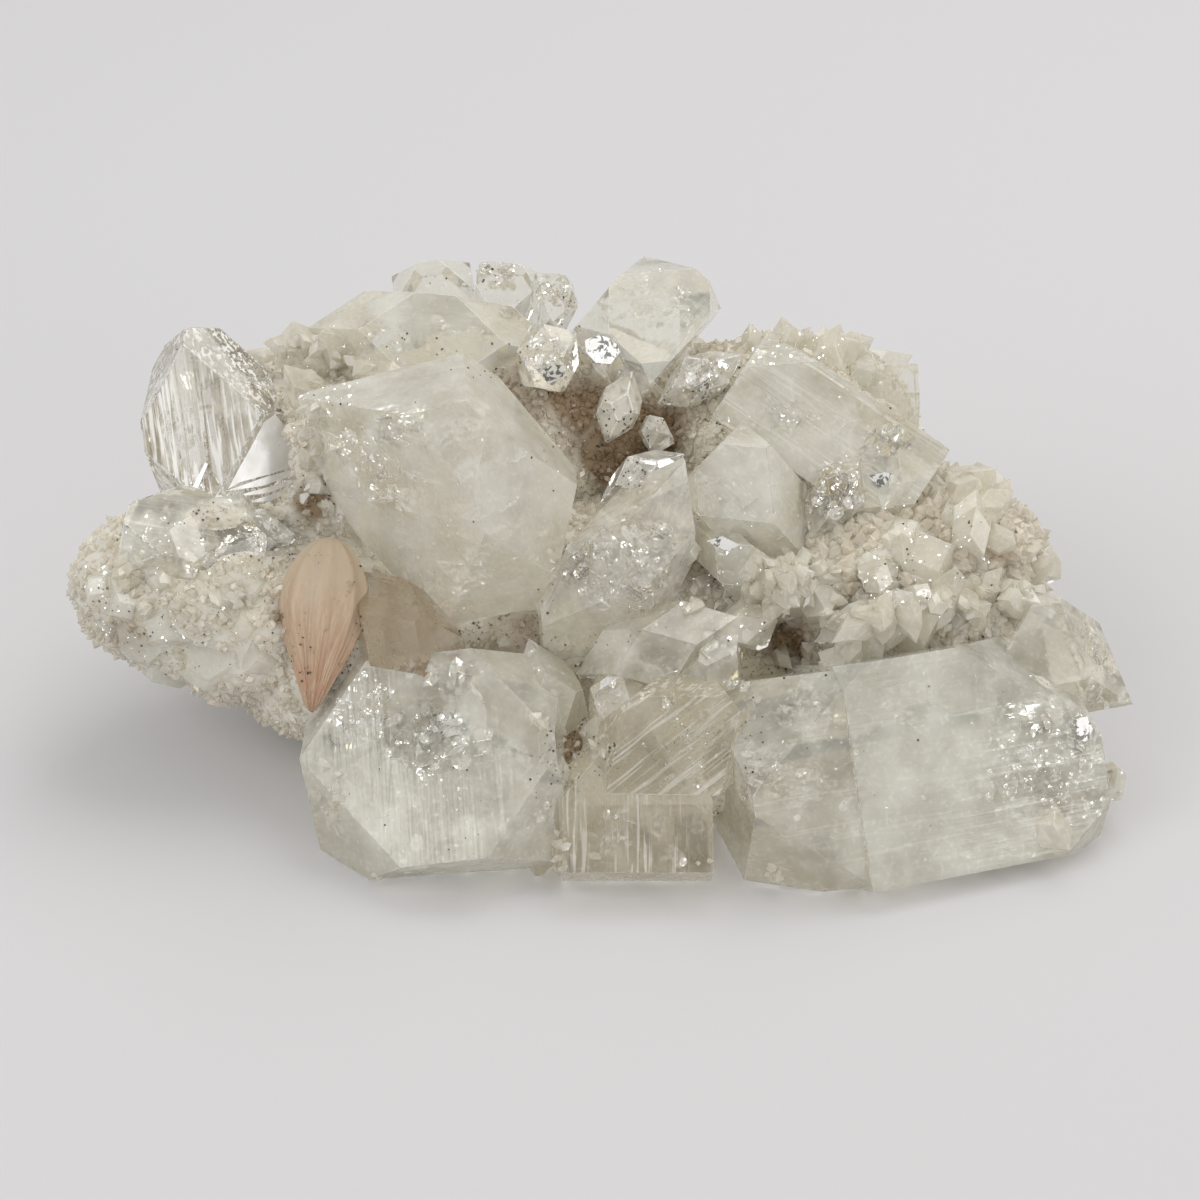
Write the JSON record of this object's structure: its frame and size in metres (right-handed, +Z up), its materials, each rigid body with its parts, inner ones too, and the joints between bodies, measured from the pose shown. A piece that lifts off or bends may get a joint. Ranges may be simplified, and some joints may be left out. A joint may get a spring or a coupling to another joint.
{
  "type": "mineral specimen",
  "caption": "Cluster of clear to milky apophyllite crystals grown over a drusy matrix, with one peach stilbite sheaf; rests on its flat base.",
  "frame": {"origin": "on the plane that the matrix rests on, under the middle of the specimen", "axes": "+X along the long side, to the right as the best face is seen; the best face looks along -Y; +Z up"},
  "size_m": [0.106, 0.0593, 0.044],
  "materials": {
    "apophyllite": "vitreous, clear with milky clouds; pearly across the c axis",
    "stilbite": "silky, pearly",
    "druse": "rough and sugary, with fine dark specks"
  },
  "bodies": {
    "root": {"front_crystals": "apophyllite", "left_crystals": "apophyllite", "rear_right_crystals": "apophyllite", "crest_crystals": "apophyllite", "rear_left_crystals": "apophyllite", "back_crystals": "apophyllite", "back_right_crystals": "apophyllite", "nook_crystal": "apophyllite", "rider_crystal": "apophyllite", "bright_crystal": "apophyllite", "bead_crystal": "apophyllite", "low_back_crystal": "apophyllite", "stilbite": "stilbite", "matrix": "druse"}
  },
  "joints": []
}
